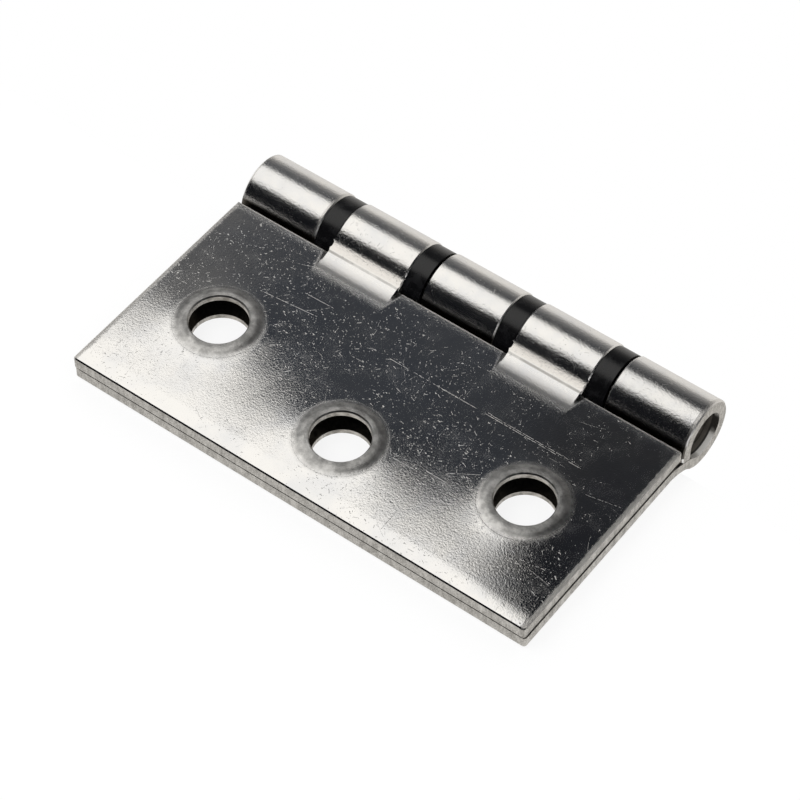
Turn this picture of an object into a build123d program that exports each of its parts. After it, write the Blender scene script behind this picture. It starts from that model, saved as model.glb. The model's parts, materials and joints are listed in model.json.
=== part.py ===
import os
from math import cos, radians, sin, tan

from build123d import *

# Leaves, cut from one gauge of sheet
leaf_length = 50.0             # along the pin
leaf_reach = 27.5              # from the pin's axis to a leaf's free edge
sheet = 1.2
leaf_gap = 0.12                # between the two closed leaves
corner_radius = 0.3            # corners of the free edge, seen from above
rim_bevel = 0.12               # rim of the outer side, dulled by tumbling
knuckle_length = 8.1           # of the inner three; the end ones run on to the leaf's ends

# Pin and its fit in the rolled knuckles
pin_diameter = 4.5
pin_clearance = 0.05           # on the radius
pin_recess = 1.0               # from a leaf's end to the pin's end
pin_chamfer = 0.3

# Washers, and the room for them between the knuckles
washer_thickness = 1.95
washer_setback = 0.1           # from the knuckles' outside down to the washers'
washer_clearance = 0.06        # on the radius, round the pin
washer_play = 0.05             # side play in a space that the leaves have closed up
end_float = 0.15               # side play in a space when the leaves are level

# Joggle that lifts each tab out of its leaf's plane and into its roll
joggle_slope = 47.0            # degrees, where the sheet runs into the roll
joggle_draw = 1.7              # how far ahead of the notches the bend starts
joggle_ease = 0.75             # length over which the bend leaves its end directions
notch_ease = 0.35              # the same at a notch, where the bend starts late
bend_fade = 0.9                # length along the pin in which the bend fades to a notch
notch_clearance = 0.22         # from a roll to the notch that it turns in
seam_gap = 0.1                 # where the roll's end comes back to its own sheet
plate_lap = 0.4                # flat sheet ahead of each bend, part of the tab

# Screw holes, in a zigzag
hole_diameter = 5.6
hole_spacing = 34.2            # between the two outer holes
outer_hole_inset = 11.2        # from the free edge
middle_hole_inset = 7.1
hole_land = 0.6                # straight part of the hole, on the outer side
hole_bevel = 0.12
sink_angle = 90.0              # countersink on the inner side

# Ring pushed up round each hole when its countersink was pressed in
ring_crest = 0.45              # width of the level top
ring_fall = 1.1                # width of the sloping side
ring_rise = 0.3

# Worked out from the sizes above
bore_radius = pin_diameter / 2 + pin_clearance
knuckle_radius = bore_radius + sheet
knuckle_space = washer_thickness + end_float
knuckle_pitch = knuckle_length + knuckle_space
leaf_shift = end_float - washer_play
inner_face = leaf_gap / 2
outer_face = inner_face + sheet
ring_top = outer_face + ring_rise
notch_edge = knuckle_radius + notch_clearance
plate_edge = notch_edge + joggle_draw + plate_lap
slope = radians(joggle_slope)
level_bend = (notch_edge + joggle_draw, joggle_ease)
notch_bend = (notch_edge, notch_ease)


def bend_curve(start, ease, height, radius):
    """Control points of one face of a joggle, from the flat sheet to the roll."""
    end_y = -radius * sin(slope)
    end_z = radius * cos(slope)
    return [
        (-start, height),
        (ease - start, height),
        (end_y - ease * cos(slope), end_z - ease * sin(slope)),
        (end_y, end_z),
    ]


def height_at(curve, y):
    """Height of a joggle's face above the mid-plane, at the distance y from the pin."""
    low = 0.0
    high = 1.0
    for _ in range(40):
        t = (low + high) / 2
        weights = ((1 - t) ** 3, 3 * t * (1 - t) ** 2, 3 * t**2 * (1 - t), t**3)
        if sum(weight * point[0] for weight, point in zip(weights, curve)) < y:
            low = t
        else:
            high = t
    return sum(weight * point[1] for weight, point in zip(weights, curve))


def joggle_section(x, start, ease):
    """The bent sheet between a leaf's flat and its roll."""
    outer = bend_curve(start, ease, outer_face, knuckle_radius)
    inner = bend_curve(start, ease, inner_face, bore_radius)
    with BuildSketch(Plane.YZ.offset(x)) as section:
        with BuildLine():
            Line((-plate_edge, inner_face), (-plate_edge, outer_face))
            Line((-plate_edge, outer_face), outer[0])
            Bezier(*outer)
            Line(outer[-1], inner[-1])
            Bezier(*reversed(inner))
            Line(inner[0], (-plate_edge, inner_face))
        make_face()
    return section.sketch


def roll_end_section(x, start, ease):
    """The straight end of the roll, cut to lie along its own sheet."""
    inner = bend_curve(start, ease, inner_face, bore_radius)
    with BuildSketch(Plane.YZ.offset(x)) as section:
        Polygon(
            (-knuckle_radius, 0),
            (-bore_radius, 0),
            (-bore_radius, height_at(inner, -bore_radius) - seam_gap),
            (-knuckle_radius, height_at(inner, -knuckle_radius) - seam_gap),
            align=None,
        )
    return section.sketch


def roll_section(x):
    """The round part of a knuckle, from the joggle over and under to the front."""
    clear = 2 * knuckle_radius
    with BuildSketch(Plane.YZ.offset(x)) as section:
        Circle(knuckle_radius)
        Circle(bore_radius, mode=Mode.SUBTRACT)
        Polygon(
            (0, 0),
            (-clear, 0),
            (-clear, clear),
            (-clear * sin(slope), clear * cos(slope)),
            align=None,
            mode=Mode.SUBTRACT,
        )
    return section.sketch


def knuckle(left, right, left_bend, right_bend):
    """One tab, bent level along its middle and fading to the bends given at its two ends."""
    tab = extrude(roll_section(left), right - left)
    stations = [
        (left, *left_bend),
        (left + bend_fade, *level_bend),
        (right - bend_fade, *level_bend),
        (right, *right_bend),
    ]
    for section in (joggle_section, roll_end_section):
        tab += loft([section(*station) for station in stations], ruled=True)
    return tab


def flat(left, right, near, far):
    """A stretch of flat sheet between two distances from the pin."""
    middle = Pos((left + right) / 2, -(near + far) / 2, (inner_face + outer_face) / 2)
    return middle * Box(right - left, far - near, sheet)


def rolled_blank(places):
    """A leaf without its holes, outer side up, with knuckles at these of the places -2 to 2."""
    half = leaf_length / 2
    body = flat(-half, half, plate_edge, leaf_reach)
    body = fillet(body.edges().filter_by(Axis.Z).group_by(Axis.Y)[0], corner_radius)
    notch_start = -half
    inside_ends = []
    for place in places:
        left = -half if place == -2 else place * knuckle_pitch - knuckle_length / 2
        right = half if place == 2 else place * knuckle_pitch + knuckle_length / 2
        left_bend = level_bend if place == -2 else notch_bend
        right_bend = level_bend if place == 2 else notch_bend
        body += knuckle(left, right, left_bend, right_bend)
        if place > -2:
            body += flat(notch_start, left, notch_edge, plate_edge)
            inside_ends.append(left)
        if place < 2:
            inside_ends.append(right)
        notch_start = right
    if places[-1] < 2:
        body += flat(notch_start, half, notch_edge, plate_edge)
    # The rim of the free edge runs on round the corners and along both ends
    body = chamfer(body.edges().filter_by(Axis.X).group_by(Axis.Y)[0].sort_by(Axis.Z)[-1], rim_bevel)
    for x in inside_ends:
        rims = body.faces().filter_by(Plane.YZ).filter_by_position(Axis.X, x - rim_bevel, x + rim_bevel)
        round_rim = rims.edges().filter_by(GeomType.CIRCLE).sort_by(SortBy.RADIUS)[-1]
        body = chamfer(round_rim, rim_bevel)
    return body


def drill(body, x, y):
    """One screw hole, with its raised ring and its countersink."""
    hole = hole_diameter / 2
    crest = hole + ring_crest
    foot = crest + ring_fall
    with BuildSketch(Plane.XZ) as section:
        Polygon((0, outer_face), (foot, outer_face), (crest, ring_top), (0, ring_top), align=None)
    spot = Pos(x, y)
    body += spot * revolve(section.sketch, Axis.Z)
    sink_depth = ring_top - hole_land - inner_face
    mouth = hole + sink_depth * tan(radians(sink_angle / 2))
    body -= spot * Pos(0, 0, ring_top) * Cylinder(hole, 4 * sheet)
    body -= spot * Pos(0, 0, inner_face + sink_depth / 2) * Cone(mouth, hole, sink_depth)
    circles = body.edges().filter_by(GeomType.CIRCLE).sort_by_distance((x, y, ring_top))
    return chamfer([edge for edge in circles if abs(edge.radius - hole) < hole_bevel][0], hole_bevel)


def leaf(places):
    """A finished leaf, outer side up, with the pin's axis along X through the origin."""
    body = rolled_blank(places)
    for side, inset in ((-1, outer_hole_inset), (0, middle_hole_inset), (1, outer_hole_inset)):
        body = drill(body, side * hole_spacing / 2, inset - leaf_reach)
    return body


def hinge_pin():
    rod = Rot(0, 90, 0) * Cylinder(pin_diameter / 2, leaf_length - 2 * pin_recess)
    return chamfer(rod.edges().filter_by(GeomType.CIRCLE), pin_chamfer)


def washer():
    with BuildSketch(Plane.YZ) as section:
        Circle(knuckle_radius - washer_setback)
        Circle(pin_diameter / 2 + washer_clearance, mode=Mode.SUBTRACT)
    return extrude(section.sketch, washer_thickness / 2, both=True)


os.makedirs("parts", exist_ok=True)

# The origin is the middle of the lower leaf's outer face, and the pin lies along X
pin_axis = Pos(0, (leaf_reach + notch_edge) / 2, outer_face)
shifted = pin_axis * Pos(-leaf_shift, 0, 0)
export_step(pin_axis * Rot(0, 180, 0) * leaf([-2, 0, 2]), "parts/three_knuckle_leaf.step")
export_step(shifted * leaf([-1, 1]), "parts/two_knuckle_leaf.step")
export_step(pin_axis * hinge_pin(), "parts/hinge_pin.step")

# The upper leaf's end float brings it up against a washer at each side of its knuckles
washer_offset = (knuckle_length + washer_thickness + washer_play) / 2
for number, (place, side) in enumerate(((-1, -1), (-1, 1), (1, -1), (1, 1)), start=1):
    spot = shifted * Pos(place * knuckle_pitch + side * washer_offset, 0, 0)
    export_step(spot * washer(), f"parts/washer_{number}.step")
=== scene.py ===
import json
import math

import bpy
from mathutils import Matrix, Vector


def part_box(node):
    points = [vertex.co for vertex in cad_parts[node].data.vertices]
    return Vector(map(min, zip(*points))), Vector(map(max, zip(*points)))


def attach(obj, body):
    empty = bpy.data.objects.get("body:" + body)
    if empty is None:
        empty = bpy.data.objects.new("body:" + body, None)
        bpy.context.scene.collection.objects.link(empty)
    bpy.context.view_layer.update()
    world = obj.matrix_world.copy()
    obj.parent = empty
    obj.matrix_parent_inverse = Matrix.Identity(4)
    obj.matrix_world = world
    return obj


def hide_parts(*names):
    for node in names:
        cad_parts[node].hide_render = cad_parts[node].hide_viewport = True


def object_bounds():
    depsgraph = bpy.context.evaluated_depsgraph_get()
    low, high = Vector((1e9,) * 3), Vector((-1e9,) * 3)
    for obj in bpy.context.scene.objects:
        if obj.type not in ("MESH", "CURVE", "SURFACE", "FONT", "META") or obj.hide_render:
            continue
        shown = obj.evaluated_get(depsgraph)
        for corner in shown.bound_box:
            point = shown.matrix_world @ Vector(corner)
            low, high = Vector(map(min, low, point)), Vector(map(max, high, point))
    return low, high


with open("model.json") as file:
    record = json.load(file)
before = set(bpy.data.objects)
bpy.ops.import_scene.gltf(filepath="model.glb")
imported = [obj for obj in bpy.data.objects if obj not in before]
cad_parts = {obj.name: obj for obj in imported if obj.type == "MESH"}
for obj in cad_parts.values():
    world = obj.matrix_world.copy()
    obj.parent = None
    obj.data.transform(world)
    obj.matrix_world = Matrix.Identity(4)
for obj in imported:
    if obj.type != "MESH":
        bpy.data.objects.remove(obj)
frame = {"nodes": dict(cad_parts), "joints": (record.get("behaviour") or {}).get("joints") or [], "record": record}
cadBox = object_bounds()
mm = 0.001
mounts = {mount["name"]: mount for mount in frame["record"]["mounts"]}
washerNumbers = (1, 2, 3, 4)
pinAxis = Vector(frame["joints"][0]["pos_m"]) / mm
rollRadius = cadBox[1].z / mm - pinAxis.z
notchLine = -cadBox[0].y / mm  # the flats lie evenly about the origin, from free edges to notches


class Wire:
    # one output of a shader node; plain maths on it adds Math nodes
    def __init__(self, tree, socket=None):
        self.tree = tree
        self.socket = socket

    def node(self, kind, values=None, out=0, **settings):
        made = self.tree.nodes.new("ShaderNode" + kind)
        for name, value in settings.items():
            setattr(made, name, value)
        for name, value in (values or {}).items():
            if isinstance(value, Wire):
                self.tree.links.new(value.socket, made.inputs[name])
            else:
                made.inputs[name].default_value = value
        return Wire(self.tree, made.outputs[out])

    def output(self, name):  # another output of the same node
        return Wire(self.tree, self.socket.node.outputs[name])

    def math(self, operation, *others):
        return self.node("Math", dict(enumerate((self, *others))), operation=operation)

    def __add__(self, other):
        return self.math("ADD", other)

    def __sub__(self, other):
        return self.math("SUBTRACT", other)

    def __rsub__(self, other):
        return self.node("Math", {0: other, 1: self}, operation="SUBTRACT")

    def __mul__(self, other):
        return self.math("MULTIPLY", other)

    def __abs__(self):
        return self.math("ABSOLUTE")

    __radd__ = __add__
    __rmul__ = __mul__

    def most(self, other):
        return self.math("MAXIMUM", other)

    def least(self, other):
        return self.math("MINIMUM", other)

    def above(self, level):  # 1 over the level, 0 elsewhere
        return self.math("GREATER_THAN", level)

    def below(self, level):
        return self.math("LESS_THAN", level)

    def ease(self, low, high):  # 0 at low, 1 at high, smooth between
        return self.node("MapRange", {0: self, 1: low, 2: high}, interpolation_type="SMOOTHSTEP")

    def colour(self, low, high):  # this value picks between two colours
        return self.node("Mix", {0: self, 6: low, 7: high}, out=2, data_type="RGBA")

    def splitXyz(self):
        x = self.node("SeparateXYZ", {0: self})
        return x, x.output(1), x.output(2)

    def joinXyz(self, x, y, z=0.0):
        return self.node("CombineXYZ", {0: x, 1: y, 2: z})

    def stretch(self, factors):
        return self.node("VectorMath", {0: self, 1: factors}, operation="MULTIPLY")

    def distanceTo(self, point):
        return self.node("VectorMath", {0: self, 1: point}, out="Value", operation="DISTANCE")

    def noise(self, size, detail=2.0, rough=0.5):  # self is a place in mm, size is in mm too
        values = {"Vector": self, "Scale": 1 / size, "Detail": detail, "Roughness": rough}
        return self.node("TexNoise", values)

    def fray(self, depth, *pattern):  # noise about zero, which makes an outline uneven
        return (self.noise(*pattern) - 0.5) * depth


def newMaterial(name):
    material = bpy.data.materials.new(name)
    material.use_nodes = True
    shader = material.node_tree.nodes["Principled BSDF"]
    return material, shader, Wire(material.node_tree)


def feed(shader, **values):
    for name, value in values.items():
        socket = shader.inputs[name.replace("_", " ")]
        if isinstance(value, Wire):
            value.tree.links.new(value.socket, socket)
        else:
            socket.default_value = value


def placeInMm(start):
    at = start.node("TexCoord", out="Object")
    return at.node("VectorMath", {0: at, "Scale": 1 / mm}, operation="SCALE")


def bumpOf(height):  # height is in mm
    return height.node("Bump", {"Height": height * mm, "Strength": 1.0, "Distance": 1.0})


# polished sheet of the leaves; sizes in mm
# a pattern is a noise's size, detail and roughness, and its span is the part of it that shows
# a fray is a depth and then a pattern
leafSteel = {
    "colour": (0.93, 0.915, 0.89, 1),
    "cloudColour": (0.83, 0.83, 0.835, 1),
    "cloud": (3.5, 4.0, 0.6),
    "cloudSpan": (0.35, 0.75),
    "roughness": 0.05,
    "smudge": (2.2, 5.0, 0.65),
    "smudgeSpan": (0.45, 0.8),
    "smudgeRoughness": 0.07,       # added in the smudges
    "film": (2.6, 5.0, 0.7),       # dried film that dims the polish in patches
    "filmSpan": (0.46, 0.74),
    "filmShare": 0.02,
    "wave": (7.0, 1.0),
    "waveDepth": 0.012,
    "grains": ((0.10, 0.0015), (0.19, 0.0031)),    # size and depth
    "grainPattern": (3.0, 0.6),    # detail and roughness
    "rollGrain": 3.6,              # times as deep on the rolls
    "footGrain": 4.0,              # where the sheet starts to bend
    "endGrain": 6.0,               # and at the sheared ends
    "pitSize": 0.3,
    "pitSpan": (0.66, 0.8),
    "pitDepth": 0.008,
    # marks, which thicken and thin out over the sheet and have ragged edges
    "crowdSize": 5.0,
    "crowdSpan": (0.3, 0.58),
    "raggedSize": 0.22,
    "raggedSpan": (0.36, 0.56),
    "breakSize": 1.4,              # gaps in the long scratches
    "breakSpan": (0.3, 0.6),
    "hairlineStrength": 0.5,
    "markRoughness": 0.5,
    "markDepth": 0.004,
    # rolls, with drawn streaks that fray their reflections
    "rollBlend": (-1.4, 0.6),      # from ahead of the notches to behind them
    "rollRoughness": 0.2,
    "streak": (0.22, 3.0, 0.55),
    "streakStretch": (0.45, 1.0, 1.0),
    "streakDepth": 0.010,
    "grimeFrom": (2.9, 3.25),      # in front of the pin, where a roll turns in the other leaf's notch
    "grimeSide": (0.0, 0.1),       # and on that leaf's side of it
    # painted shade on a roll where it turns in the other leaf's notch, between the parts
    "grimeColour": (0.10, 0.092, 0.08, 1),
    # rings round the holes
    "ringColour": (0.86, 0.85, 0.83, 1),
    "ringStain": (0.40, 0.395, 0.385, 1),
    "stain": (1.3, 5.0, 0.7),
    "stainSpan": (0.3, 0.68),
    "ringRoughness": 0.3,
    "ringClouds": 0.12,            # added in the clouds
    "ringWidth": 1.55,             # from the hole's edge to the ring's foot
    "ringFray": (0.4, 0.7, 3.0),
    "ringSoft": (0.4, -0.65),      # outside and inside the ring's foot
    "ringGrain": (0.18, 3.0),
    "ringGrainDepth": 0.008,
    "latheTurns": 42.0,
    "latheDepth": 0.0008,
    "dishRise": 0.05,              # the sheet swells up towards each ring
    "dishReach": 2.0,
    # feet of the tabs
    "footHalf": 4.05,              # half a tab's width
    "footEdge": (-0.1, 0.1),       # inside and outside a tab's end
    "footDraw": 1.7,               # the bend starts this far ahead of the notches
    "footSide": 4.0,               # how fast a foot ends beside its tab
    "footHaze": (1.7, -0.5),       # from this far ahead of the bend to this far up it, the sheet is duller
    "hazeFray": (0.5, 0.5, 3.0),
    "footRoughness": 0.36,
    "footSag": 0.12,               # and leaves its plane more gently
    "sagFrom": (0.4, -1.5),
    "foldColour": (0.85, 0.82, 0.78, 1),
    "foldFrom": (-0.1, 0.25),      # behind the notches
    "foldTo": (1.2, 0.7),
    "creaseAt": 0.05,              # painted shade along the bend's crease, ahead of the notches
    "creaseSoft": (0.17, 0.04),
    # how unevenly the crease's painted shade shows, and its colour
    "creaseWear": (0.2, 0.6),
    "creaseColour": (0.45, 0.44, 0.42, 1),
    # sheared ends, dulled and drawn down, and the notches' rims
    "endColour": (0.82, 0.80, 0.77, 1),
    "endRoughness": 0.42,
    "endFray": (0.25, 0.6),
    "edgeRoll": (0.6, 0.18),       # from an end
    "edgeDrop": 0.02,
    "rimFrom": (-0.22, -0.08),     # ahead of the notches
    "rimShare": 0.7,
    "lip": 1.9,                    # the sheet falls a little towards its free edge
    "lipDrop": 0.05,
}

# long scratches in a leaf's outer face: from, to and width; x from its middle hole, y from the origin
longScratches = (
    ((-4.0, 5.1), (18.9, 5.1), 0.034),
    ((9.1, 5.28), (18.8, 5.3), 0.026),
    ((-16.4, 4.5), (-10.3, 5.1), 0.026),
    ((-12.9, 6.7), (-9.7, 6.8), 0.024),
    ((20.9, 3.0), (24.3, 3.7), 0.024),
    ((-5.8, 3.3), (-3.6, 3.3), 0.026),
    ((4.8, -3.8), (7.2, -3.7), 0.026),
    ((8.2, -3.2), (10.4, -3.2), 0.024),
    ((9.9, -2.3), (12.3, -0.7), 0.024),
    ((8.8, -7.8), (8.9, -10.6), 0.026),
    ((14.1, -9.4), (14.1, -10.9), 0.026),
    ((-16.4, -6.1), (-16.0, -8.4), 0.024),
)

# short marks: cell size, length, width in mm, the share of the cells that have one, and the cells' shift
nicks = {"cell": 0.85, "length": 0.62, "width": 0.03, "share": 0.42, "shift": 3.7}
hairlines = {"cell": 4.0, "length": 3.4, "width": 0.018, "share": 0.5, "shift": 11.3}
specks = {"cell": 0.4, "length": 0.12, "width": 0.04, "share": 0.4, "shift": 23.9}

# a mark's full-depth core, the lengths at which the smallest ends, how much more the largest has,
# and the strength of the faintest
markShape = {"core": 0.3, "ends": (0.4, 0.2), "growth": 0.6, "faintest": 0.3}


def marks(flat, kind):
    # one short mark in some of the cells, each in its own direction
    scale = {0: flat, 1: (1 / kind["cell"],) * 3, 2: (kind["shift"],) * 3}
    spot = flat.node("VectorMath", scale, operation="MULTIPLY_ADD")
    cell = spot.node("TexVoronoi", {"Vector": spot, "Scale": 1.0}, out="Position", voronoi_dimensions="2D")
    away = spot.node("VectorMath", {0: spot, 1: cell}, operation="SUBTRACT")
    awayX, awayY, _ = away.splitXyz()
    chance, size, draw = cell.output("Color").splitXyz()
    turn = chance * math.tau
    along = awayX * turn.math("COSINE") + awayY * turn.math("SINE")
    across = awayY * turn.math("COSINE") - awayX * turn.math("SINE")
    bent = across + along * along * (size - 0.5)
    half = kind["length"] / 2 / kind["cell"]
    width = kind["width"] / kind["cell"]
    inLine = abs(bent).ease(width, width * markShape["core"])
    grown = size * markShape["growth"]
    outer, inner = markShape["ends"]
    inLength = abs(along).ease((grown + outer) * half, (grown + inner) * half)
    faint = markShape["faintest"]
    return inLine * inLength * draw.below(kind["share"]) * (faint + (1 - faint) * size)


def scratch(x, y, start, end, width):
    run = Vector(end) - Vector(start)
    way = run.normalized()
    along = (x - start[0]) * way.x + (y - start[1]) * way.y
    across = (y - start[1]) * way.x - (x - start[0]) * way.y
    inLine = abs(across).ease(width, width * markShape["core"])
    return inLine * along.above(0.0) * along.below(run.length)


def holesOf(leafName):
    return [Vector(mounts[f"{leafName}_{side}_hole"]["pos_m"]) / mm for side in ("left", "middle", "right")]


def holeRadiusOf(leafName):
    return mounts[f"{leafName}_middle_hole"]["dims"]["r_mm"]


def nearestHole(place, x, y, holes):
    level = place.joinXyz(x, y)
    reach = None
    for hole in holes:
        apart = level.distanceTo((hole.x, hole.y, 0))
        reach = apart if reach is None else reach.least(apart)
    return reach


def tabsOf(leafName):
    # middles of a leaf's knuckles along the pin: between and beyond the washers
    washers = [[corner.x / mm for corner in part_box(f"washer_{number}")] for number in washerNumbers]
    ends = [cadBox[0].x / mm] + [side for washer in washers for side in washer] + [cadBox[1].x / mm]
    middles = [(left + right) / 2 for left, right in zip(ends[::2], ends[1::2])]
    return middles[1::2] if leafName == "upper_leaf" else middles[::2]


def makeLeafSteel(name, leafName, nodeName, scratches):
    look = leafSteel
    material, shader, start = newMaterial(name)
    place = placeInMm(start)
    x, y, z = place.splitXyz()
    low, high = (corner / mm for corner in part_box(nodeName))
    holes = holesOf(leafName)
    pastNotch = y - notchLine
    rolled = pastNotch.ease(*look["rollBlend"])
    turned = (y - pinAxis.y).math("ARCTAN2", z - pinAxis.z) * rollRadius
    flat = place.joinXyz(x, y + pastNotch.above(0.0) * (turned - y))  # the rolls laid out flat

    # rings round the holes
    ringEdge = holeRadiusOf(leafName) + look["ringWidth"]
    reach = nearestHole(place, x, y, holes)
    ring = (reach - ringEdge + place.fray(*look["ringFray"])).ease(*look["ringSoft"])

    # feet of the tabs: how far a place lies ahead of the nearest bend
    ahead = None
    besideTabs = None
    for middle in tabsOf(leafName):
        pastTab = abs(x - middle) - look["footHalf"]
        before = pastTab.most(0.0) * look["footSide"] - pastNotch - look["footDraw"]
        beside = pastTab.ease(*look["footEdge"])
        ahead = before if ahead is None else ahead.least(before)
        besideTabs = beside if besideTabs is None else besideTabs.least(beside)
    onTabs = 1 - besideTabs
    haze = (ahead + place.fray(*look["hazeFray"])).ease(*look["footHaze"]) * (1 - rolled)
    sag = ahead.ease(*look["sagFrom"]) * look["footSag"]
    crease = abs(pastNotch + look["creaseAt"]).ease(*look["creaseSoft"]) * onTabs
    fold = pastNotch.ease(*look["foldFrom"]) * pastNotch.ease(*look["foldTo"]) * onTabs

    crowd = place.noise(look["crowdSize"]).ease(*look["crowdSpan"])
    ragged = place.noise(look["raggedSize"]).ease(*look["raggedSpan"])
    unbroken = place.noise(look["breakSize"]).ease(*look["breakSpan"])
    marked = marks(flat, nicks) * crowd
    marked = marked.most(marks(flat, hairlines) * look["hairlineStrength"])
    marked = marked.most(marks(flat, specks) * crowd)
    for line in scratches:
        marked = marked.most(scratch(x - holes[1].x, y, *line) * unbroken)
    marked = marked * ragged * (1 - ring)

    # the sheared ends, the notches' rims, and painted shade on a roll where it turns in the other leaf's notch
    fromEnd = (x - low.x).least(high.x - x) + place.fray(*look["endFray"])
    drawn = fromEnd.ease(*look["edgeRoll"]) * (1 - rolled)
    drawn = drawn.most(pastNotch.ease(*look["rimFrom"]) * besideTabs * look["rimShare"])
    otherSide = -1 if leafName == "upper_leaf" else 1
    notchShade = (pinAxis.y - y).ease(*look["grimeFrom"])
    notchShade = notchShade * ((z - pinAxis.z) * otherSide).ease(*look["grimeSide"])

    cloud = place.noise(*look["cloud"])
    stain = place.noise(*look["stain"]).ease(*look["stainSpan"])
    colour = cloud.ease(*look["cloudSpan"]).colour(look["colour"], look["cloudColour"])
    colour = drawn.colour(colour, look["endColour"])
    colour = fold.colour(colour, look["foldColour"])
    # painted shade along the crease, uneven in strength
    colour = (crease * cloud.ease(*look["creaseWear"])).colour(colour, look["creaseColour"])
    # painted shade between the parts
    colour = notchShade.colour(colour, look["grimeColour"])
    colour = ring.colour(colour, stain.colour(look["ringColour"], look["ringStain"]))
    film = place.noise(*look["film"]).ease(*look["filmSpan"]) * look["filmShare"] * (1 - rolled)

    smudge = place.noise(*look["smudge"]).ease(*look["smudgeSpan"])
    rough = look["roughness"] + smudge * look["smudgeRoughness"]
    rough = rough + rolled * (look["rollRoughness"] - look["roughness"])
    ringRough = look["ringRoughness"] + cloud * look["ringClouds"]
    for mask, level in ((haze, look["footRoughness"]), (drawn, look["endRoughness"]),
                        (marked, look["markRoughness"]), (ring, ringRough)):
        rough = rough + mask * (level - rough)

    height = place.noise(*look["wave"]) * look["waveDepth"]
    deeper = 1 + drawn * (look["endGrain"] - 1) + rolled * (look["rollGrain"] - 1)
    deeper = deeper + haze * (look["footGrain"] - 1)
    for size, depth in look["grains"]:
        height = height + place.noise(size, *look["grainPattern"]) * depth * deeper
    streaks = flat.stretch(look["streakStretch"]).noise(*look["streak"])
    height = height + streaks * look["streakDepth"] * rolled
    pits = place.noise(look["pitSize"]).ease(*look["pitSpan"]) * crowd
    height = height - pits * look["pitDepth"] - marked * look["markDepth"]
    dish = ((ringEdge - reach) * (1 / look["dishReach"])).math("EXPONENT")
    lip = (1 - (y - low.y) * (1 / look["lip"])).most(0.0)
    height = height + dish.least(1.0) * look["dishRise"] - lip * lip * look["lipDrop"]
    height = height - sag - drawn * look["edgeDrop"]
    lathe = (reach * look["latheTurns"]).math("SINE") * look["latheDepth"]
    height = height + (lathe + place.noise(*look["ringGrain"]) * look["ringGrainDepth"]) * ring
    feed(shader, Base_Color=colour, Metallic=1 - film, Roughness=rough, Normal=bumpOf(height))
    return material


# sheared edges of the sheet
cutSteel = {
    "light": (0.70, 0.675, 0.63, 1),
    "dark": (0.27, 0.255, 0.23, 1),
    "span": (0.32, 0.68),
    "roughness": 0.46,
    "speckRoughness": 0.15,
    "stretch": (1.6, 1.6, 0.6),
    "tear": (1.0, 4.0, 0.65),
    "tearDepth": 0.012,
    "speck": (0.14, 3.0),
    "speckDepth": 0.01,
}


def makeCutSteel():
    look = cutSteel
    material, shader, start = newMaterial("cutSteel")
    place = placeInMm(start)
    tear = place.stretch(look["stretch"]).noise(*look["tear"])
    speck = place.noise(*look["speck"])
    colour = ((tear + speck) * 0.5).ease(*look["span"]).colour(look["dark"], look["light"])
    rough = look["roughness"] + speck * look["speckRoughness"]
    feed(shader, Base_Color=colour, Metallic=1.0, Roughness=rough,
         Normal=bumpOf(tear * look["tearDepth"] + speck * look["speckDepth"]))
    return material


# walls of the screw holes, and the stains and grain that both kinds have
wallLooks = {
    "landSteel": {"bright": (0.62, 0.585, 0.53, 1), "dull": (0.28, 0.26, 0.225, 1), "roughness": 0.38,
                  "metallic": 0.35},
    # the sink's colours are painted shade: the same steel as the land, made dark where shade falls in the hole
    "sinkSteel": {"bright": (0.12, 0.11, 0.095, 1), "dull": (0.035, 0.032, 0.028, 1), "roughness": 0.28,
                  "metallic": 1.0},
}
wallWear = {"stain": (0.9, 3.0, 0.6), "span": (0.35, 0.7), "stainRoughness": 0.12,
            "grain": 0.2, "depth": 0.008}


def makeWallSteel(name):
    look = wallLooks[name]
    material, shader, start = newMaterial(name)
    place = placeInMm(start)
    stain = place.noise(*wallWear["stain"]).ease(*wallWear["span"])
    feed(shader, Base_Color=stain.colour(look["bright"], look["dull"]), Metallic=look["metallic"],
         Roughness=look["roughness"] + stain * wallWear["stainRoughness"],
         Normal=bumpOf(place.noise(wallWear["grain"]) * wallWear["depth"]))
    return material


# insides of the rolls, with painted light and shade: a painted reflection at the bottom, painted shade at the
# back, and painted shade past a painted shadow line near the mouth
# heights and places behind are from the pin's axis, in mm
boreSteel = {
    "plain": (0.62, 0.60, 0.56, 1),
    # painted reflection, bright at the bottom of the roll
    "bright": (0.90, 0.88, 0.84, 1),
    # painted shade, at the back and on the shadow line
    "dirty": (0.045, 0.042, 0.037, 1),
    # painted shade, deeper in the roll
    "deep": (0.16, 0.145, 0.125, 1),
    "brightFrom": (-1.3, -1.9),    # in height
    "brightBehind": (-0.9, -0.3),
    "dirtyBehind": (0.3, 1.2),
    "dirtyFrom": (-1.7, -1.0),     # in height
    "dirtyTo": (0.8, 0.0),
    "uneven": (0.8, 0.8, 4.0, 0.65),
    "deepFrom": (0.62, 0.74),      # from the roll's mouth
    # a painted shadow line near the mouth
    "line": (0.14, 0.056),         # half of its width, and of its darkest part
    "roughness": 0.3,
    "metallic": 0.3,
    "grain": 0.2,
    "grainDepth": 0.008,
}


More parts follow.
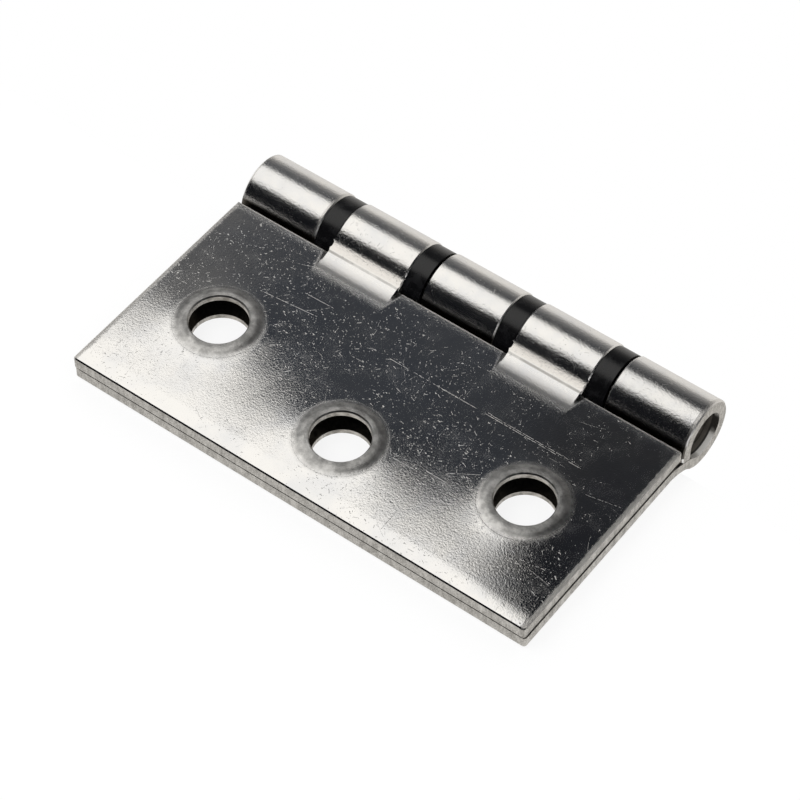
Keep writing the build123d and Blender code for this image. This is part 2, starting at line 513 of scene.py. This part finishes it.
def makeBoreSteel():
    look = boreSteel
    material, shader, start = newMaterial("boreSteel")
    place = placeInMm(start)
    x, y, z = place.splitXyz()
    uneven = place.fray(*look["uneven"])
    behind = y - pinAxis.y + uneven
    over = z - pinAxis.z + uneven
    fromMouth = cadBox[1].x / mm - abs(x)
    # painted shade at the back, and a painted reflection at the bottom, made less metallic so that it shows
    backShade = behind.ease(*look["dirtyBehind"]) * over.ease(*look["dirtyFrom"]) * over.ease(*look["dirtyTo"])
    paintedReflection = over.ease(*look["brightFrom"]) * behind.ease(*look["brightBehind"])
    # a painted shadow line, and painted shade past it
    line = abs(fromMouth - look["deepFrom"][0]).ease(*look["line"])
    colour = backShade.colour(look["plain"], look["dirty"])
    colour = paintedReflection.colour(colour, look["bright"])
    colour = fromMouth.ease(*look["deepFrom"]).colour(colour, look["deep"])
    colour = line.colour(colour, look["dirty"])
    feed(shader, Base_Color=colour, Metallic=look["metallic"] * (1 - paintedReflection), Roughness=look["roughness"],
         Normal=bumpOf(place.noise(look["grain"]) * look["grainDepth"]))
    return material


pinSteel = {
    "clean": (0.15, 0.135, 0.115, 1),
    "stained": (0.07, 0.06, 0.05, 1),
    "stain": (0.9, 4.0, 0.6),
    "span": (0.35, 0.65),
    # painted shadow on the pin's outer part and round its end, in the gap to the bore
    "rim": (0.012, 0.011, 0.01, 1),
    "rimFrom": (1.75, 2.05),       # from the axis
    "roughness": 0.4,
    "stainRoughness": 0.15,
    "grain": (0.14, 3.0),
    "grainDepth": 0.012,
}


def makePinSteel():
    look = pinSteel
    material, shader, start = newMaterial("pinSteel")
    place = placeInMm(start)
    stain = place.noise(*look["stain"]).ease(*look["span"])
    reach = place.stretch((0, 1, 1)).distanceTo((0, pinAxis.y, pinAxis.z))
    colour = stain.colour(look["clean"], look["stained"])
    # painted shadow near the end's edge and on the pin's outside
    colour = reach.ease(*look["rimFrom"]).colour(colour, look["rim"])
    rough = look["roughness"] + stain * look["stainRoughness"]
    feed(shader, Base_Color=colour, Metallic=1.0, Roughness=rough,
         Normal=bumpOf(place.noise(*look["grain"]) * look["grainDepth"]))
    return material


washerPlastic = {
    "colour": (0.003, 0.003, 0.0035, 1),
    "worn": (0.008, 0.008, 0.009, 1),
    "wear": (0.8, 3.0),
    "span": (0.45, 0.75),
    "roughness": 0.24,
    "wornRoughness": 0.12,
    "sheen": 0.5,
    "grain": 0.12,
    "grainDepth": 0.004,
}


def makeWasherPlastic():
    look = washerPlastic
    material, shader, start = newMaterial("washerPlastic")
    place = placeInMm(start)
    worn = place.noise(*look["wear"]).ease(*look["span"])
    feed(shader, Base_Color=worn.colour(look["colour"], look["worn"]), Metallic=0.0,
         Roughness=look["roughness"] + worn * look["wornRoughness"], Specular_IOR_Level=look["sheen"],
         Normal=bumpOf(place.noise(look["grain"]) * look["grainDepth"]))
    return material


def selectOnly(piece):
    bpy.ops.object.select_all(action="DESELECT")
    piece.select_set(True)
    bpy.context.view_layer.objects.active = piece


skinning = {"weld": 1e-6, "flatAngle": 0.2, "smoothAngle": 32}  # metres and degrees


def weldedCopy(nodeName, pieceName):
    # loose triangles joined up, and flat stretches made whole, so that they shade flat
    piece = bpy.data.objects.new(pieceName, frame["nodes"][nodeName].data.copy())
    bpy.context.scene.collection.objects.link(piece)
    selectOnly(piece)
    if piece.data.has_custom_normals:
        bpy.ops.mesh.customdata_custom_splitnormals_clear()
    bpy.ops.object.mode_set(mode="EDIT")
    bpy.ops.mesh.select_all(action="SELECT")
    bpy.ops.mesh.remove_doubles(threshold=skinning["weld"])
    bpy.ops.mesh.dissolve_limited(angle_limit=math.radians(skinning["flatAngle"]))
    bpy.ops.object.mode_set(mode="OBJECT")
    return piece


# the solids' bends fade towards the tabs' ends, and here they run on almost to the washers; sizes in mm
feet = {"fadeFrom": 0.7, "fadeTo": 1.3, "run": 0.8, "reach": 2.2}


def straightenFeet(piece):
    for number in washerNumbers:
        for side, way in zip(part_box(f"washer_{number}"), (-1, 1)):
            selectOnly(piece)
            bpy.ops.object.mode_set(mode="EDIT")
            bpy.ops.mesh.select_mode(type="VERT")
            bpy.ops.mesh.select_all(action="DESELECT")
            bpy.ops.object.mode_set(mode="OBJECT")
            for corner in piece.data.vertices:
                away = (corner.co.x - side.x) / mm * way
                nearBend = notchLine - feet["reach"] < corner.co.y / mm < pinAxis.y
                corner.select = feet["fadeFrom"] < away < feet["fadeTo"] and nearBend
            bpy.ops.object.mode_set(mode="EDIT")
            bpy.ops.transform.translate(value=(-way * feet["run"] * mm, 0, 0))
            bpy.ops.object.mode_set(mode="OBJECT")


def dress(piece, nodeName, body, finishes, pickFinish=None):
    selectOnly(piece)
    piece.data.materials.clear()
    for finish in finishes:
        piece.data.materials.append(finish)
    for face in piece.data.polygons:
        face.material_index = pickFinish(face.center / mm, face.normal) if pickFinish else 0
    bpy.ops.object.shade_smooth_by_angle(angle=math.radians(skinning["smoothAngle"]))
    weighted = piece.modifiers.new("flatFacesStayFlat", "WEIGHTED_NORMAL")
    weighted.keep_sharp = True
    bpy.ops.object.modifier_apply(modifier=weighted.name)
    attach(piece, body)
    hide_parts(nodeName)
    print("skin:", piece.name, len(piece.data.polygons), "faces")


# which finish a leaf's face has, by the way it looks and by its place in mm
sheetFace, cutFace, landFace, sinkFace, boreFace = range(5)
faceRules = {"endLooks": 0.92, "boreReach": 2.45, "holeMargin": 1.0, "sinkLooks": (0.5, 0.9),
             "landLooks": 0.2, "edgeLooks": 0.35, "edgeDepth": 0.8}


def leafFinish(nodeName, leafName):
    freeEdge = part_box(nodeName)[0].y / mm
    holes = holesOf(leafName)
    holeReach = holeRadiusOf(leafName) + faceRules["holeMargin"]
    inward = -1 if leafName == "upper_leaf" else 1
    leastSlant, mostSlant = faceRules["sinkLooks"]

    def pick(centre, normal):
        if abs(normal.x) > faceRules["endLooks"]:
            return cutFace
        if math.hypot(centre.y - pinAxis.y, centre.z - pinAxis.z) < faceRules["boreReach"]:
            return boreFace
        if any(math.hypot(centre.x - hole.x, centre.y - hole.y) < holeReach for hole in holes):
            if leastSlant < normal.z * inward < mostSlant:  # the slanted wall, not the flat sheet round it
                return sinkFace
            if abs(normal.z) < faceRules["landLooks"]:
                return landFace
        if abs(normal.z) < faceRules["edgeLooks"] and centre.y < freeEdge + faceRules["edgeDepth"]:
            return cutFace
        return sheetFace

    return pick


cutEdge = makeCutSteel()
landSteel, sinkSteel = (makeWallSteel(name) for name in wallLooks)
insideRoll = makeBoreSteel()
leaves = (("two_knuckle_leaf", "upper_leaf", "upperLeaf", longScratches),
          ("three_knuckle_leaf", "lower_leaf", "lowerLeaf", longScratches[2:5]))
for nodeName, leafName, pieceName, scratches in leaves:
    piece = weldedCopy(nodeName, pieceName)
    straightenFeet(piece)
    sheetSteel = makeLeafSteel(pieceName + "Steel", leafName, nodeName, scratches)
    dress(piece, nodeName, leafName, (sheetSteel, cutEdge, landSteel, sinkSteel, insideRoll),
          leafFinish(nodeName, leafName))
dress(weldedCopy("hinge_pin", "hingePin"), "hinge_pin", "lower_leaf", (makePinSteel(),))
plastic = makeWasherPlastic()
for number in washerNumbers:
    dress(weldedCopy(f"washer_{number}", f"washer{number}"), f"washer_{number}", f"washer_{number}_body",
          (plastic,))

# camera
shot = {"azimuth": 37.04, "elevation": 51.0, "roll": -0.19, "distance": 0.28513, "lens": 144.0,
        "sensor": 36.0, "clipStart": 0.01, "lookAt": (0.0015, 0.00182, 0.00252)}
turn = math.radians(shot["azimuth"])
rise = math.radians(shot["elevation"])
back = Vector((math.sin(turn) * math.cos(rise), -math.cos(turn) * math.cos(rise), math.sin(rise)))
aim = (-back).to_track_quat("-Z", "Y").to_matrix() @ Matrix.Rotation(math.radians(shot["roll"]), 3, "Z")
standpoint = Vector(shot["lookAt"]) + back * shot["distance"]
bpy.ops.object.camera_add(location=standpoint, rotation=aim.to_euler())
camera = bpy.context.object
camera.data.lens = shot["lens"]
camera.data.sensor_width = shot["sensor"]
camera.data.clip_start = shot["clipStart"]
bpy.context.scene.camera = camera
bpy.context.scene.view_settings.view_transform = "Standard"
print("camera placed")

# floor: the lower leaf lies on it, and it ends under the knuckles, so that the upper leaf can swing past it
floorShape = {"level": -0.00032, "back": 0.0119, "front": -2.0, "half": 2.0, "glow": 0.82,
              "colour": (0.97, 0.97, 0.97, 1), "roughness": 0.9}


def seenByEye(start):  # directly, in a mirror or through glass
    path = start.node("LightPath", out="Is Camera Ray")
    return path.most(path.output("Is Glossy Ray")).most(path.output("Is Transmission Ray"))


def addPlane(name, centre, size, turned=(0, 0, 0)):
    bpy.ops.object.select_all(action="DESELECT")
    bpy.ops.mesh.primitive_plane_add(size=1, location=centre, rotation=turned)
    plane = bpy.context.object
    plane.name = name
    plane.scale = (size[0], size[1], 1)
    bpy.ops.object.transform_apply(location=True, rotation=True, scale=True)
    return plane


floorMiddle = (floorShape["back"] + floorShape["front"]) / 2
floor = addPlane("floor", (0, floorMiddle, floorShape["level"]),
                 (2 * floorShape["half"], floorShape["back"] - floorShape["front"]))
material, shader, start = newMaterial("paleFloor")
feed(shader, Base_Color=floorShape["colour"], Roughness=floorShape["roughness"])
glow = start.node("Emission", {"Color": (1, 1, 1, 1), "Strength": 1.0})
tree = material.node_tree
plain = Wire(tree, shader.outputs[0])
mixed = start.node("MixShader", {0: seenByEye(start) * floorShape["glow"], 1: plain, 2: glow})
tree.links.new(mixed.socket, tree.nodes["Material Output"].inputs[0])
floor.data.materials.append(material)

# what the polished metal alone sees, in mm: an eight-sided softbox in a dark ceiling, a dark wall in front
# and a pale one behind that runs on below the floor
scrim = {
    "height": 302.5,
    "width": 5000.0,
    "front": -2400.0,
    "back": 2400.0,
    "below": 4000.0,
    "boxCentre": (-199.0, 2.0),
    "boxReach": 177.4,
    "boxTurn": 84.0,
    "softness": 5.0,
    "lit": (1.03, 1.015, 0.985, 1),
    "dark": (0.005, 0.0055, 0.007, 1),
    "pale": (0.042, 0.047, 0.057, 1),
    "paleAt": (-106.0, -142.0),    # along x
    "paleFrom": (-40.0, 120.0),    # along y
    "patch": (9.0, 3.0),
    "patchSpan": (0.3, 0.75),
    "patchShare": 0.4,
    "warm": (1.0, 0.96, 0.90, 1),
    "backStart": 185.0,
    "backGlow": 0.0003,            # for each mm
    "backPatch": (0.9, 0.8),
    "corner": (-190.0, -210.0),    # along x
    "cornerFrom": (150.0, 200.0),  # along y
    "cornerTo": (330.0, 240.0),
    "cornerGlow": 0.075,
    "behind": (0.74, 0.72, 0.69, 1),
}


def glossyOnly(plane):
    plane.visible_camera = False
    plane.visible_diffuse = False
    plane.visible_shadow = False
    plane.visible_transmission = False


def glowing(name, plane, paint):
    material, _, start = newMaterial(name)
    glow = start.node("Emission", {"Color": paint(placeInMm(start)), "Strength": 1.0})
    material.node_tree.links.new(glow.socket, material.node_tree.nodes["Material Output"].inputs[0])
    plane.data.materials.append(material)


def ceilingPaint(place):
    x, y, _ = place.splitXyz()
    centreX, centreY = scrim["boxCentre"]
    side = None
    for pair in range(4):  # the softbox's eight sides lie in pairs
        facing = math.radians(scrim["boxTurn"]) + pair * math.pi / 4
        across = abs((x - centreX) * math.cos(facing) + (y - centreY) * math.sin(facing))
        side = across if side is None else side.most(across)
    inBox = side.ease(scrim["boxReach"] + scrim["softness"], scrim["boxReach"] - scrim["softness"])
    patchy = place.noise(*scrim["patch"]).ease(*scrim["patchSpan"])
    paleness = x.ease(*scrim["paleAt"]) * (1 - scrim["patchShare"]) + patchy * scrim["patchShare"]
    ground = paleness.colour(scrim["dark"], scrim["pale"])
    ground = y.ease(*scrim["paleFrom"]).colour(scrim["dark"], ground)
    least, more = scrim["backPatch"]
    glow = (y - scrim["backStart"]).most(0.0) * scrim["backGlow"] * (least + patchy * more)
    corner = x.ease(*scrim["corner"]) * y.ease(*scrim["cornerFrom"]) * y.ease(*scrim["cornerTo"])
    glow = (glow + corner * scrim["cornerGlow"]).least(scrim["behind"][0])
    return inBox.colour(glow.colour(ground, scrim["warm"]), scrim["lit"])


ceiling = addPlane("ceiling", (0, 0, scrim["height"] * mm), (scrim["width"] * mm, scrim["width"] * mm))
glossyOnly(ceiling)
glowing("ceiling", ceiling, ceilingPaint)
walls = (("frontWall", scrim["front"], 0.0, scrim["dark"]),
         ("backWall", scrim["back"], scrim["below"], scrim["behind"]))
for name, y, below, paint in walls:
    wall = addPlane(name, (0, y * mm, (scrim["height"] - below) / 2 * mm),
                    (scrim["width"] * mm, (scrim["height"] + below) * mm), (math.pi / 2, 0, 0))
    glossyOnly(wall)
    glowing(name, wall, lambda place, paint=paint: paint)

# soft light
light = {"sky": 0.72, "size": 0.7, "power": 3.2, "place": (-0.15, -0.25, 0.75)}
world = bpy.data.worlds.new("studio")
world.use_nodes = True
bpy.context.scene.world = world
start = Wire(world.node_tree)
strength = light["sky"] + seenByEye(start) * (1 - light["sky"])
sky = world.node_tree.nodes["Background"]
sky.inputs["Color"].default_value = (1, 1, 1, 1)
world.node_tree.links.new(strength.socket, sky.inputs["Strength"])
toLight = Vector(light["place"]).to_track_quat("Z", "Y")
bpy.ops.object.light_add(type="AREA", location=light["place"], rotation=toLight.to_euler())
lamp = bpy.context.object
lamp.data.size = light["size"]
lamp.data.energy = light["power"]
lamp.visible_glossy = False  # the polished metal shows the softbox instead
print("stage and lights placed")
